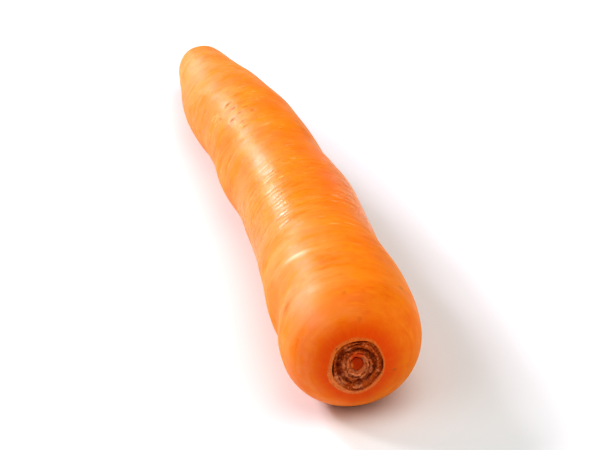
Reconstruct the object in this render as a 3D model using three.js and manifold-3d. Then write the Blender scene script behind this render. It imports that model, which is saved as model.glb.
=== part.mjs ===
// A carrot, lying down, with its leaves cut off at the crown.
//
// Millimetres, +Z up. The root lies along X with its crown towards +X and rests on the plane
// z = 0 on three small flattened spots. The origin is under the middle of the whole carrot.
//
// Every place on the root is named by how far it is along the root from the tip (along, mm)
// and how far it is around it (around, degrees: 0 faces +Y, 90 faces up, 180 faces -Y).

import * as THREE from 'three';
import Module from 'manifold-3d';
import { mergeVertices } from 'three/addons/utils/BufferGeometryUtils.js';

// ---------------------------------------------------------------- driving dimensions

const LENGTH = 176;                  // tip to crown

// Radius of the root before its two ends are rounded: [along, radius].
const GIRTH = [[0, 5.4], [20, 9], [40, 11.5], [68, 13.2], [124, 15.3], [148, 16.7], [176, 16.9]];

// The axis wanders a little to the side, as a root does in stony soil: [along, sideways].
const BOW = [[0, -0.4], [32, 0.2], [86, 2.1], [116, 1.2], [176, -4.6]];

// Height of the underside over the floor. It dips under it at the three places that rest.
const UNDERSIDE = [[0, 2.2], [26, -0.3], [58, 0.4], [90, -0.3], [126, 0.4], [159, -0.3], [176, 0.3]];

const TIP_ROUND = 5.9;               // length of the rounded end at the tip
const SHOULDER_ROUND = 14;           // length of the rounded end at the crown
const SHOULDER_POWER = 2.15;         // 2 would make the shoulder an ellipse, more is squarer

const TAIL_RADIUS = 1.5;             // broken end of the thin tail root
const TAIL_LENGTH = 0.9;
const TAIL_EDGE = [0.25, 0.75];      // its rounded edge: along, and share of its radius

const SCAR_RADIUS = 6.15;            // round cut where the leaves stood
const SCAR_MIDDLE = [-0.3, 0.6];     // it lies this far off the axis: sideways, up
const SCAR_OVAL = 0.04;              // and is a little taller than it is wide
const SCAR_DEPTH = 1.6;              // the recess that the stalk bases sit in
const SCAR_CORNERS = 5;              // outermost leaves, each of which leaves a blunt corner
const SCAR_CORNER_AT = 205;
const SCAR_CORNER = 0.02;            // how far a corner stands out, as a share of the radius
const SCAR_LOBE = 0.06;
const SCAR_LOBE_AT = 255;
const SCAR_LOBE_SPREAD = 24;
const COLLAR_WIDTH = 0.6;            // corky lip around the cut
const COLLAR_HEIGHT = 0.3;
const COLLAR_TOP = [0.6, 0.2];       // where its flat top starts and ends, as shares of its width
const HEART_RADIUS = 1.6;            // soft core that shows in the middle of the cut
const HEART_HEIGHT = 1.3;            // above the floor of the recess
const HEART_CROWN = [[0, 1], [0.7, 0.85], [0.95, 0.5]];   // shares of its height and its radius
const GAP = 0.3;                     // between the root and the stalk bases

// Swellings (height above 0) and hollows of the root: how far they reach along and around.
const SWELLINGS = [
  { along: 31, around: 196, reach: 13, spread: 45, height: 1 },         // belly near the tip
  { along: 54, around: 190, reach: 9, spread: 40, height: -0.4 },
  { along: 70, around: 147, reach: 3.5, spread: 13, height: -0.5 },     // dimple
  { along: 72, around: 200, reach: 9, spread: 32, height: 0.6 },
  { along: 81, around: 31, reach: 8, spread: 30, height: -0.6 },
  { along: 90, around: 204, reach: 7, spread: 30, height: -0.5 },
  { along: 102, around: 28, reach: 8, spread: 30, height: 0.4 },
  { along: 114, around: 320, reach: 18, spread: 55, height: -0.5 },
  { along: 130, around: 28, reach: 8, spread: 28, height: -0.6 },
  { along: 140.5, around: 140, reach: 3, spread: 30, height: 0.35 },    // fold across the top
  { along: 151.5, around: 168, reach: 5, spread: 38, height: -1.6 },    // waist behind the shoulder
  { along: 155, around: 8, reach: 12, spread: 40, height: 1.1 },        // shoulder on the other side
  { along: 164, around: 172, reach: 7, spread: 30, height: -0.9 },
  { along: 170, around: 270, reach: 8, spread: 45, height: -0.8 },
];
const FOLD_EDGE = { along: 133.5, around: 136, reach: 2.6, spread: 28, height: -0.5 };
const OVAL = 0.012;                  // the section is this much out of round
const OVAL_AT = 40;
const OVAL_TWIST = 0.5;              // degrees that the oval turns in each millimetre

// Creases: short cross grooves where side roots grew, in four rows down the root.
const CREASE_LEVELS = 19;
const CREASE_FIRST = 18;             // along
const CREASE_LAST = 152;
const CREASE_ROWS = [60, 150, 240, 330];
const CREASE_CHANCE = 0.6;           // that a row has a crease at a level
const CREASE_LEVEL_DRIFT = 0.5;      // how far a level strays, as a share of their spacing
const CREASE_ROW_DRIFT = 30;         // degrees that a crease strays from its row
const CREASE_REACH = 0.7;            // half the width of the groove
const CREASE_SPREAD = [9, 24];       // half its length, in degrees
const CREASE_DEPTH = [0.12, 0.35];
const CREASE_SEED = 11;

// Leaf-stalk bases: rings of thin curved walls, cut short, from the outside inwards.
const STALK_RINGS = [
  { count: 3, first: 355, radius: 5, thick: 1, height: 1.7 },
  { count: 4, first: 30, radius: 3.6, thick: 0.8, height: 1.35 },
  { count: 3, first: 80, radius: 2.55, thick: 0.55, height: 1.1 },
];
const STALK_OVERLAP = 16;            // degrees by which each stalk wraps around the next
const STALK_TURN = 8;                // degrees by which a stalk strays from its even place
const STALK_DRIFT = 0.4;             // its start stands this much further out than its end
const STALK_ENDS = 0.06;             // how blunt its two ends are
const STALK_FULLNESS = 0.6;          // how soon it is thick again, away from its ends
const STALK_SLOPE = 0.2;             // how much lower its ends are, as a share of its height
const STALK_SHOULDER = 0.35;         // its rounded edges start this far down, and its top is
const STALK_TOP = 0.45;              // this wide, both as shares of half its thickness
const STALK_RAGGED = 0.2;            // unevenness of the cut
const STALK_SUNK = 0.2;              // how deep it is rooted in the pad
const STALK_SEED = 5;
const PAD_THICKNESS = 0.6;           // common base that the stalks grow from

// Fineness of the meshes
const ROOT_SIDES = 48;
const BODY_STEP = 5.5;               // widest distance between rings of the root
const CLOSEST_RINGS = 0.35;          // rings closer than this count as one
const CREASE_EDGE = 1.4;             // where a crease's two outer rings are, in reaches
const FOLD_RINGS = 2;                // distance of the rings on either side of the fold's edge
const TIP_RINGS = [22, 36, 50, 63, 76];           // degrees round the end of the tip
const SHOULDER_RINGS = [15, 28, 40, 50, 58, 64];  // degrees round the shoulder
const STALK_STEPS = 16;
const PAD_SIDES = 40;

const RAD = Math.PI / 180;

// ---------------------------------------------------------------- small helpers

/** Repeatable random numbers from 0 to 1. */
function randomFrom(seed) {
  let state = seed;
  return () => {
    state = (state * 1664525 + 1013904223) % 4294967296;
    return state / 4294967296;
  };
}

/** The number that lies the given share of the way from low to high. */
function between([low, high], share) {
  return low + (high - low) * share;
}

/** Smooth curve through [place, value] points, each with the slope between its neighbours. */
function curveThrough(points, place) {
  const slopeAt = (i) => {
    const before = points[Math.max(i - 1, 0)];
    const after = points[Math.min(i + 1, points.length - 1)];
    return (after[1] - before[1]) / (after[0] - before[0]);
  };
  let i = 0;
  while (i < points.length - 2 && place > points[i + 1][0]) i += 1;
  const span = points[i + 1][0] - points[i][0];
  const t = (place - points[i][0]) / span;
  const rise = points[i + 1][1] - points[i][1];
  const bend = t * (1 - t) * ((1 - t) * (slopeAt(i) * span - rise) + t * (rise - slopeAt(i + 1) * span));
  return points[i][1] + t * rise + bend;
}

/** Degrees from one direction to another, from -180 to 180. */
function turnBetween(from, to) {
  return ((to - from + 540) % 360) - 180;
}

/** A bell that is 1 in the middle and fades out at about the given reach. */
function bell(distance, reach) {
  return Math.exp(-((distance / reach) ** 2));
}

// ---------------------------------------------------------------- form of the root

/** All the creases, each as a narrow hollow that runs across the root. */
function makeCreases() {
  const random = randomFrom(CREASE_SEED);
  const pitch = (CREASE_LAST - CREASE_FIRST) / (CREASE_LEVELS - 1);
  const creases = [];
  for (let level = 0; level < CREASE_LEVELS; level += 1) {
    const along = CREASE_FIRST + pitch * (level + CREASE_LEVEL_DRIFT * (random() - 0.5));
    for (const row of CREASE_ROWS) {
      const chance = random();
      const around = row + CREASE_ROW_DRIFT * (random() - 0.5);
      const spread = between(CREASE_SPREAD, random());
      const height = -between(CREASE_DEPTH, random());
      if (chance < CREASE_CHANCE) {
        creases.push({ along, around, reach: CREASE_REACH, spread, height });
      }
    }
  }
  return creases;
}

const creases = makeCreases();

/** How far the skin stands out from the plain round section. */
function reliefAt(along, around) {
  let relief = OVAL * curveThrough(GIRTH, along)
    * Math.cos(2 * (around - OVAL_AT - OVAL_TWIST * along) * RAD);
  for (const bump of [...SWELLINGS, FOLD_EDGE, ...creases]) {
    relief += bump.height * bell(along - bump.along, bump.reach)
      * bell(turnBetween(bump.around, around), bump.spread);
  }
  return relief;
}

/** Share of the full radius that the two rounded ends leave. */
function roundedEnds(along) {
  const intoTip = Math.max(1 - along / TIP_ROUND, 0);
  const intoShoulder = Math.max((along - LENGTH + SHOULDER_ROUND) / SHOULDER_ROUND, 0);
  const tip = Math.sqrt(1 - intoTip ** 2);
  const shoulder = (1 - intoShoulder ** SHOULDER_POWER) ** (1 / SHOULDER_POWER);
  return tip * shoulder;
}

/** The middle of the root at a place along it. */
function axisAt(along) {
  const height = curveThrough(GIRTH, along) + curveThrough(UNDERSIDE, along);
  return new THREE.Vector3(along, curveThrough(BOW, along), height);
}

/** Directions of a section: sideways (+Y side), upwards, and along the root to the crown. */
function sectionAxes(along) {
  const forward = axisAt(along + 0.5).sub(axisAt(along - 0.5)).normalize();
  const side = new THREE.Vector3(0, 0, 1).cross(forward).normalize();
  const up = new THREE.Vector3().crossVectors(forward, side);
  return { forward, side, up };
}

/**
 * A point at a distance from the middle of the section at a place along the root. The middle is
 * the axis (toScar 0), or the middle of the scar (toScar 1), or lies between the two.
 */
function pointAt(along, around, distance, toScar) {
  const { side, up } = sectionAxes(along);
  return axisAt(along)
    .addScaledVector(side, toScar * SCAR_MIDDLE[0] + distance * Math.cos(around * RAD))
    .addScaledVector(up, toScar * SCAR_MIDDLE[1] + distance * Math.sin(around * RAD));
}

/** Scar outline: an oval with blunt corners and one lobe, where the lowest leaf stood. */
function scarShape(around) {
  const oval = SCAR_OVAL * Math.cos(2 * (around - 90) * RAD);
  const corners = SCAR_CORNER * Math.cos(SCAR_CORNERS * (around - SCAR_CORNER_AT) * RAD);
  return 1 + oval + corners + SCAR_LOBE * bell(turnBetween(SCAR_LOBE_AT, around), SCAR_LOBE_SPREAD);
}

/** Distance along the root at which the rounded shoulder has shrunk to a radius. */
function alongOnShoulder(radius) {
  const share = radius / curveThrough(GIRTH, LENGTH);
  return LENGTH - SHOULDER_ROUND
    + SHOULDER_ROUND * (1 - share ** SHOULDER_POWER) ** (1 / SHOULDER_POWER);
}

const collarShare = (SCAR_RADIUS + COLLAR_WIDTH) / curveThrough(GIRTH, LENGTH);
const collarAlong = alongOnShoulder(SCAR_RADIUS + COLLAR_WIDTH);
const rimAlong = collarAlong + COLLAR_HEIGHT;
const recessFloor = rimAlong - SCAR_DEPTH;

// ---------------------------------------------------------------- meshes

/** The middle of a list of points. */
function middleOf(points) {
  const sum = points.reduce((total, point) => total.add(point), new THREE.Vector3());
  return sum.divideScalar(points.length);
}

/** Closed mesh from rings of points, with one point to close it at each end. */
function meshFromRings(firstPoint, rings, lastPoint) {
  const sides = rings[0].length;
  const points = [firstPoint, ...rings.flat(), lastPoint];
  const last = points.length - 1;
  const faces = [];
  for (let j = 0; j < sides; j += 1) {
    const next = (j + 1) % sides;
    faces.push(0, 1 + next, 1 + j);
    for (let i = 0; i < rings.length - 1; i += 1) {
      const a = 1 + i * sides + j;
      const b = 1 + i * sides + next;
      faces.push(a, b, a + sides, b, b + sides, a + sides);
    }
    const start = last - sides;
    faces.push(last, start + j, start + next);
  }
  const geometry = new THREE.BufferGeometry().setFromPoints(points);
  geometry.setIndex(faces);
  return geometry;
}

/** Places of the body's rings: evenly spaced, and three to each level of creases. */
function bodyStations() {
  const levels = [...new Set(creases.map((crease) => crease.along))];
  const edge = CREASE_EDGE * CREASE_REACH;
  const stations = levels.flatMap((along) => [along - edge, along, along + edge]);
  stations.push(FOLD_EDGE.along - FOLD_RINGS, FOLD_EDGE.along, FOLD_EDGE.along + FOLD_RINGS);
  const start = TIP_ROUND;
  const end = LENGTH - SHOULDER_ROUND;
  stations.push(start, end);
  stations.sort((a, b) => a - b);
  const spaced = [stations[0]];
  for (const along of stations.slice(1)) {
    const last = spaced[spaced.length - 1];
    const steps = Math.ceil((along - last) / BODY_STEP);
    for (let k = 1; k < steps; k += 1) spaced.push(last + (along - last) * k / steps);
    if (along - last > CLOSEST_RINGS) spaced.push(along);
  }
  return spaced;
}

/** One ring of skin, flattened where it would go through the floor. */
function skinRing(along, share) {
  const ring = [];
  const toScar = along > LENGTH - SHOULDER_ROUND ? (1 - share) / (1 - collarShare) : 0;
  for (let j = 0; j < ROOT_SIDES; j += 1) {
    const around = 360 * j / ROOT_SIDES;
    const radius = share * (curveThrough(GIRTH, along) + reliefAt(along, around));
    const point = pointAt(along, around, radius, toScar);
    point.z = Math.max(point.z, 0);
    ring.push(point);
  }
  return ring;
}

/** One ring of the scar, which has its own outline. */
function scarRing(along, radius) {
  const ring = [];
  for (let j = 0; j < ROOT_SIDES; j += 1) {
    const around = 360 * j / ROOT_SIDES;
    ring.push(pointAt(along, around, radius * scarShape(around), 1));
  }
  return ring;
}

/** One ring of the round tail. */
function tailRing(along, radius) {
  const ring = [];
  for (let j = 0; j < ROOT_SIDES; j += 1) ring.push(pointAt(along, 360 * j / ROOT_SIDES, radius, 0));
  return ring;
}

/** The orange root, from the tail scar to the heart in the middle of the crown. */
function makeRoot() {
  const rings = [
    tailRing(TAIL_EDGE[0], TAIL_EDGE[1] * TAIL_RADIUS),
    tailRing(TAIL_LENGTH, TAIL_RADIUS),
  ];
  for (const degrees of TIP_RINGS) {
    const along = TAIL_LENGTH + (TIP_ROUND - TAIL_LENGTH) * (1 - Math.cos(degrees * RAD));
    rings.push(skinRing(along, roundedEnds(along)));
  }
  for (const along of bodyStations()) rings.push(skinRing(along, roundedEnds(along)));
  for (const degrees of SHOULDER_RINGS) {
    const along = LENGTH - SHOULDER_ROUND + SHOULDER_ROUND * Math.sin(degrees * RAD);
    rings.push(skinRing(along, roundedEnds(along)));
  }
  rings.push(scarRing(collarAlong, SCAR_RADIUS + COLLAR_WIDTH));
  for (const share of COLLAR_TOP) rings.push(scarRing(rimAlong, SCAR_RADIUS + share * COLLAR_WIDTH));
  rings.push(scarRing(recessFloor, SCAR_RADIUS));
  for (const [height, radius] of HEART_CROWN) {
    rings.push(scarRing(recessFloor + height * HEART_HEIGHT, radius * HEART_RADIUS));
  }
  return meshFromRings(axisAt(0), rings, pointAt(recessFloor + HEART_HEIGHT, 0, 0, 1));
}

/** The pad that the stalk bases share: a flat ring that lies in the recess. */
function makePad() {
  const bottom = recessFloor + GAP;
  const top = bottom + PAD_THICKNESS;
  const inner = HEART_RADIUS + GAP;
  const outer = SCAR_RADIUS - GAP;
  const corners = [[bottom, inner], [bottom, outer], [top, outer], [top, inner]];
  const points = [];
  const faces = [];
  for (let j = 0; j < PAD_SIDES; j += 1) {
    const around = 360 * j / PAD_SIDES;
    for (const [along, radius] of corners) {
      points.push(pointAt(along, around, radius * scarShape(around), 1));
    }
    for (let k = 0; k < corners.length; k += 1) {
      const a = j * corners.length + k;
      const b = j * corners.length + (k + 1) % corners.length;
      const nextA = (a + corners.length) % (PAD_SIDES * corners.length);
      const nextB = (b + corners.length) % (PAD_SIDES * corners.length);
      faces.push(a, nextA, b, b, nextA, nextB);
    }
  }
  const geometry = new THREE.BufferGeometry().setFromPoints(points);
  geometry.setIndex(faces);
  return geometry;
}

/** One cut stalk base: a curved wall, thickest in the middle, with a ragged rounded top. */
function makeStalk({ from, span, radius, thick, height }, random) {
  const bottom = recessFloor + GAP + STALK_SUNK;
  const rings = [];
  for (let i = 0; i <= STALK_STEPS; i += 1) {
    const share = i / STALK_STEPS;
    const around = from + span * share;
    const swell = Math.sin(Math.PI * between([STALK_ENDS, 1 - STALK_ENDS], share));
    const half = 0.5 * thick * swell ** STALK_FULLNESS;
    const middle = radius + STALK_DRIFT * (0.5 - share);
    const evenTop = recessFloor + GAP + height * (1 - STALK_SLOPE * (1 - swell));
    const top = evenTop + STALK_RAGGED * (random() - 0.5);
    const shoulder = top - STALK_SHOULDER * half;
    const profile = [
      [bottom, -half], [shoulder, -half], [top, -STALK_TOP * half],
      [top, STALK_TOP * half], [shoulder, half], [bottom, half],
    ];
    const shape = scarShape(around);
    rings.push(profile.map(([along, out]) => pointAt(along, around, (middle + out) * shape, 1)));
  }
  return meshFromRings(middleOf(rings[0]), rings, middleOf(rings[STALK_STEPS]));
}

/** The dry ring of stalk bases, joined with their pad into one solid. */
async function makeStubs() {
  const wasm = await Module();
  wasm.setup();
  const solid = (geometry) => {
    geometry.deleteAttribute('normal');
    geometry.deleteAttribute('uv');
    const merged = mergeVertices(geometry);
    const vertProperties = new Float32Array(merged.attributes.position.array);
    const triVerts = new Uint32Array(merged.index.array);
    return new wasm.Manifold(new wasm.Mesh({ numProp: 3, vertProperties, triVerts }));
  };
  const random = randomFrom(STALK_SEED);
  let stubs = solid(makePad());
  for (const ring of STALK_RINGS) {
    const pitch = 360 / ring.count;
    for (let k = 0; k < ring.count; k += 1) {
      const from = ring.first + k * pitch + STALK_TURN * (random() - 0.5);
      stubs = stubs.add(solid(makeStalk({ ...ring, from, span: pitch + STALK_OVERLAP }, random)));
    }
  }
  const { vertProperties, triVerts } = stubs.getMesh();
  const geometry = new THREE.BufferGeometry();
  geometry.setAttribute('position', new THREE.BufferAttribute(vertProperties, 3));
  geometry.setIndex(new THREE.BufferAttribute(triVerts, 1));
  return geometry;
}

/** A named mesh with its own material. */
function makeMesh(name, geometry, finish) {
  geometry.computeVertexNormals();
  const mesh = new THREE.Mesh(geometry, new THREE.MeshStandardMaterial(finish));
  mesh.name = name;
  return mesh;
}

// ---------------------------------------------------------------- the carrot

const WAXY_ORANGE = { color: 0xf4821e, roughness: 0.42, metalness: 0 };
const DRY_BROWN = { color: 0x5c3a1f, roughness: 0.9, metalness: 0 };

const carrot = new THREE.Group();
carrot.add(makeMesh('carrot_root', makeRoot(), WAXY_ORANGE));
carrot.add(makeMesh('leaf_stalk_stubs', await makeStubs(), DRY_BROWN));

const centre = new THREE.Box3().setFromObject(carrot).getCenter(new THREE.Vector3());
carrot.position.set(-centre.x, -centre.y, 0);

export default carrot;
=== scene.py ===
import math

import bmesh
import bpy
import numpy as np
from mathutils import Matrix, Vector


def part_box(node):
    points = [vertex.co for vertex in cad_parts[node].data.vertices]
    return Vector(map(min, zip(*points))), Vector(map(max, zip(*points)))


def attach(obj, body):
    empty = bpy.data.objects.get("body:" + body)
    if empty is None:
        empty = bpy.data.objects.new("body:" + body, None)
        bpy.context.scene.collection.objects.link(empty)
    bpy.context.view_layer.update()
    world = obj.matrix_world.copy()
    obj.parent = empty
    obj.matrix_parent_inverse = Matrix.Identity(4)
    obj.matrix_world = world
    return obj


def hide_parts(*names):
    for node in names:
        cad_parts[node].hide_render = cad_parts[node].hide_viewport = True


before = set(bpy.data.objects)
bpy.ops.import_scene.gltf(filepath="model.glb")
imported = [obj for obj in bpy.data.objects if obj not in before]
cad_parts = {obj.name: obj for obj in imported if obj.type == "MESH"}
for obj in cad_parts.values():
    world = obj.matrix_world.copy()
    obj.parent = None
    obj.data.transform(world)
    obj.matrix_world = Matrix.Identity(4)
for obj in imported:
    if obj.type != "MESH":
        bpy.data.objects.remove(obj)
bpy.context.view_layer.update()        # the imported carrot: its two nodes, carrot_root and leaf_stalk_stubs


# ---------------------------------------------------------------- camera
# A long lens looks down on the carrot from beyond its crown, a little to one side, so that the
# root runs away from the eye, foreshortened, and the cut crown faces it.
MM = 0.001                              # forms are written in millimetres and built in metres
LOOKS_FROM = math.radians(75)           # round the carrot: 90 would be straight at the crown
LOOKS_DOWN = math.radians(30.5)
DISTANCE = 0.8
STANDPOINT = Vector((1, 1.5, 12)) * MM  # the place that the distance is measured from
AIM = Vector((5, 5.45, 6.8)) * MM       # the middle of the view
LENS = 188

away = Vector((
    math.sin(LOOKS_FROM) * math.cos(LOOKS_DOWN),
    -math.cos(LOOKS_FROM) * math.cos(LOOKS_DOWN),
    math.sin(LOOKS_DOWN),
))
camera = bpy.data.objects.new("camera", bpy.data.cameras.new("camera"))
camera.data.lens = LENS
camera.location = STANDPOINT + DISTANCE * away
camera.rotation_euler = (camera.location - AIM).to_track_quat("Z", "Y").to_euler()
camera.data.clip_start = 0.05
camera.data.clip_end = 50
bpy.context.scene.collection.objects.link(camera)
bpy.context.scene.camera = camera


# ---------------------------------------------------------------- the root
# The whole carrot but for its cut leaves: one tap root, swollen with water and sugar. It tapers
# to a blunt tip, wandered a little as it grew, and rests on three flattened spots. Its crown
# ends in a round scar: a thin corky collar, a sunk ring, and the soft heart in the middle.
LENGTH = 176                            # tip to crown
# Three curves down the root, as (along, value): its radius before the ends are rounded, how far
# it bends sideways, and how high its underside is over the floor.
GIRTH = [(0, 5.4), (20, 9), (40, 11.5), (68, 13.2), (124, 15.3), (148, 16.7), (176, 16.9)]
BOW = [(0, -0.4), (32, 0.2), (86, 2.1), (116, 1.2), (176, -4.6)]
UNDERSIDE = [(0, 2.2), (26, -0.3), (58, 0.4), (90, -0.3), (126, 0.4), (159, -0.3), (176, 0.3)]
TIP_ROUND = 5.9                         # length of the rounded end at the tip
SHOULDER_ROUND = 14                     # length of the rounded end at the crown
SHOULDER_POWER = 2.15                   # 2 would make the shoulder an ellipse, more is squarer
TAIL_RADIUS = 1.5                       # broken end of the thin tail root
TAIL_LENGTH = 0.9
TAIL_EDGE = (0.25, 0.75)                # its rounded edge: along, and share of its radius
TAIL_FOOT = (1, 2.4)                    # where it meets the tip: along, and radius
TAIL_SCAR = 0.9                         # how far its dry skin reaches over the tip
OVAL = 0.012                            # how far a section is off round, as a share of its radius
OVAL_AT = 40                            # where its long side is at the tip
OVAL_TWIST = 0.5                        # degrees that it turns for each millimetre along
# Swellings and hollows: along from the tip, around from the side, reach both ways, and height.
SWELLINGS = [
    (31, 196, 13, 45, 1),               # belly near the tip
    (54, 190, 9, 40, -0.4),
    (70, 147, 3.5, 13, -0.5),           # dimple
    (72, 200, 9, 32, 0.6),
    (81, 31, 8, 30, -0.6),
    (90, 204, 7, 30, -0.5),
    (102, 28, 8, 30, 0.4),
    (114, 320, 18, 55, -0.5),
    (130, 28, 8, 28, -0.6),
    (133.5, 136, 2.6, 28, -0.5),
    (140.5, 140, 3, 30, 0.35),          # fold across the top
    (151.5, 168, 5, 38, -1.6),          # waist behind the shoulder
    (155, 8, 12, 40, 1.1),              # shoulder on the other side
    (164, 172, 7, 30, -0.9),
    (170, 270, 8, 45, -0.8),
]
# Creases: short cross grooves where side roots grew, in four rows down the root. The skin
# keeps a share of their depth, with a low lip on either side, and their ends curl along it.
CREASE_LEVELS = 19
CREASE_FIRST = 18
CREASE_LAST = 152
CREASE_ROWS = (60, 150, 240, 330)
CREASE_CHANCE = 0.6
CREASE_LEVEL_DRIFT = 0.5
CREASE_ROW_DRIFT = 30
CREASE_REACH = 0.7
CREASE_SPREAD = (9, 24)
CREASE_DEPTH = (0.12, 0.35)
CREASE_SEED = 11
CREASE_SHARE = 0.4
CREASE_FLOOR = 0.75                     # reach of the groove, as a share of the crease's
CREASE_LIP = 0.3
CREASE_LIP_AT = 1.8
CREASE_CURL = 0.6
CREASE_CURL_CHANGE = 3.1                # each crease curls by another amount
CREASE_CURL_MOST = 4
# Scar: the round cut where the leaves stood.
SCAR_RADIUS = 6.15
SCAR_MIDDLE = (-0.3, 0.6)               # off the root's axis: sideways, up
SCAR_OVAL = 0.04                        # a little taller than it is wide
SCAR_DEPTH = 1.6                        # the recess that the stalk bases sit in
SCAR_CORNERS = 5                        # outermost leaves, each of which leaves a blunt corner
SCAR_CORNER_AT = 205
SCAR_CORNER = 0.02                      # how far a corner stands out, as a share of the radius
SCAR_LOBE = 0.06                        # the lowest leaf leaves a wider one
SCAR_LOBE_AT = 255
SCAR_LOBE_SPREAD = 24
SCAR_PULL_FROM = 0.9                    # share of the girth where the pull to its outline starts
COLLAR_WIDTH = 0.6                      # corky lip around the cut
COLLAR_HEIGHT = 0.3
COLLAR_TOP = (0.6, 0.2)                 # its flat top starts and ends at these shares of its width
HEART_RADIUS = 1.6
HEART_HEIGHT = 1.3                      # above the floor of the recess
HEART_CROWN = ((0, 1.05), (0.75, 0.98), (0.95, 0.65))   # shares of its height and its radius
# A pale stretch ridge that runs slantwise over the fold; its paleness is partly a painted highlight.
RIDGE_AT = 145.5
RIDGE_TURN = 125
RIDGE_SLANT = 0.052                     # millimetres along for each degree around
RIDGE_REACH = 0.95
RIDGE_SPREAD = 13
RIDGE_HEIGHT = 0.24
# Slight lumps all over, as long waves.
LUMPS = 14
LUMP_HEIGHT = 0.035
LUMP_FAINTEST = 0.3                     # as a share of that height
LUMP_LENGTH = (9, 40)
LUMP_WAVES = 6                          # a lump has fewer waves around than this
LUMP_SEED = 3
# Rings of the mesh: points in each, and millimetres between them on the body and in the scar.
SIDES = 144
RING_STEP = 0.34
SCAR_STEP = 0.17
TIP_RINGS = 18
TIP_TURN = (16, 88)                     # degrees round the tip at its first and last ring
SHOULDER_RINGS = 56
CORNER_CUTS = 2                         # times that the corners of a path are cut round
ON_AXIS = 0.02                          # radius of the small faces that close both ends


def random_from(seed):
    """Repeatable random numbers from 0 to 1."""
    state = seed
    while True:
        state = (state * 1664525 + 1013904223) % 4294967296
        yield state / 4294967296


def curve_through(points, place):
    """Smooth curve through (place, value) points, each with the slope between its neighbours."""
    places, values = np.array(points, float).T
    count = len(places)
    before = np.maximum(np.arange(count) - 1, 0)
    after = np.minimum(np.arange(count) + 1, count - 1)
    slope = (values[after] - values[before]) / (places[after] - places[before])
    i = np.clip(np.searchsorted(places, place) - 1, 0, count - 2)
    span = places[i + 1] - places[i]
    rise = values[i + 1] - values[i]
    t = (place - places[i]) / span
    bend = t * (1 - t) * ((1 - t) * (slope[i] * span - rise) + t * (rise - slope[i + 1] * span))
    return values[i] + t * rise + bend


def turn_between(start, end):
    """Degrees from one direction to another, from -180 to 180."""
    return (end - start + 540) % 360 - 180


def bell(distance, reach):
    """1 in the middle, fading out at about the given reach."""
    return np.exp(-((distance / reach) ** 2))


def rise_between(low, high, value):
    """0 below low and 1 above high, with a soft change between."""
    t = np.clip((value - low) / (high - low), 0, 1)
    return t * t * (3 - 2 * t)


def axis_at(along):
    """The middle of the root, in millimetres from under its tip."""
    height = curve_through(GIRTH, along) + curve_through(UNDERSIDE, along)
    return np.stack([along, curve_through(BOW, along), height], -1)


def section_axes(along):
    """Directions of a section: sideways, upwards, and along the root to the crown."""
    forward = axis_at(along + 0.5) - axis_at(along - 0.5)
    forward /= np.linalg.norm(forward, axis=-1, keepdims=True)
    side = np.cross((0, 0, 1), forward)
    side /= np.linalg.norm(side, axis=-1, keepdims=True)
    return side, np.cross(forward, side), forward


def scar_shape(around):
    """Scar outline: an oval with blunt corners and one lobe, where the lowest leaf stood."""
    oval = SCAR_OVAL * np.cos(np.radians(2 * (around - 90)))
    corners = SCAR_CORNER * np.cos(np.radians(SCAR_CORNERS * (around - SCAR_CORNER_AT)))
    lobe = SCAR_LOBE * bell(turn_between(SCAR_LOBE_AT, around), SCAR_LOBE_SPREAD)
    return 1 + oval + corners + lobe


def rounded_path(corners, rounds, step):
    """A path through corner points, with its corners cut round, in even steps."""
    path = np.array(corners, float)
    for _ in range(rounds):
        near = 0.75 * path[:-1] + 0.25 * path[1:]
        far = 0.25 * path[:-1] + 0.75 * path[1:]
        cut = np.stack([near, far], 1).reshape(-1, 2)
        path = np.concatenate([path[:1], cut, path[-1:]])
    walked = np.concatenate([[0], np.cumsum(np.linalg.norm(np.diff(path, axis=0), axis=1))])
    stops = np.linspace(0, walked[-1], round(walked[-1] / step) + 1)
    return np.stack([np.interp(stops, walked, path[:, k]) for k in (0, 1)], 1)


def list_creases():
    """Every crease: along, around, reach both ways, and depth."""
    draw = random_from(CREASE_SEED)
    pitch = (CREASE_LAST - CREASE_FIRST) / (CREASE_LEVELS - 1)
    creases = []
    for level in range(CREASE_LEVELS):
        along = CREASE_FIRST + pitch * (level + CREASE_LEVEL_DRIFT * (next(draw) - 0.5))
        for row in CREASE_ROWS:
            chance = next(draw)
            around = row + CREASE_ROW_DRIFT * (next(draw) - 0.5)
            spread = CREASE_SPREAD[0] + (CREASE_SPREAD[1] - CREASE_SPREAD[0]) * next(draw)
            depth = CREASE_DEPTH[0] + (CREASE_DEPTH[1] - CREASE_DEPTH[0]) * next(draw)
            if chance < CREASE_CHANCE:
                creases.append((along, around, CREASE_REACH, spread, depth))
    return creases


# Marks on the skin, each a soft spot: along, around, reach both ways, and strength. The first
# are small brown pits near the tip and two on the shoulder, with their depth for a strength.
MARKS = [
    (45, 128, 0.3, 2.5, 0.12), (56.5, 122, 0.45, 4.5, 0.2), (60, 118, 0.4, 3, 0.18),
    (62.6, 105, 0.3, 2.5, 0.13), (63.6, 115, 0.4, 3, 0.15), (64.3, 127.5, 0.45, 3.5, 0.2),
    (68, 117.5, 0.4, 3, 0.15), (71, 117.5, 0.35, 3, 0.14),
    (159, 150, 0.7, 6, 0.08), (157, 161, 0.8, 5, 0.08),
]
MARK_TINT = 4                           # a mark is browner than a crease of the same depth, partly as painted shade
BLUSHES_AND_SHADE = [
    (158.9, 150, 2, 7, 0.6),            # around the marks on the shoulder
    (116, 174, 5, 9, 0.4),              # on the flank
    (71.2, 148, 3.2, 12, 0.8),          # in the dimple
    (108, 72, 20, 34, 0.45),            # painted shade over the back, where less light falls
    (100, 144, 13, 6.5, 0.5),
]
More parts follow.
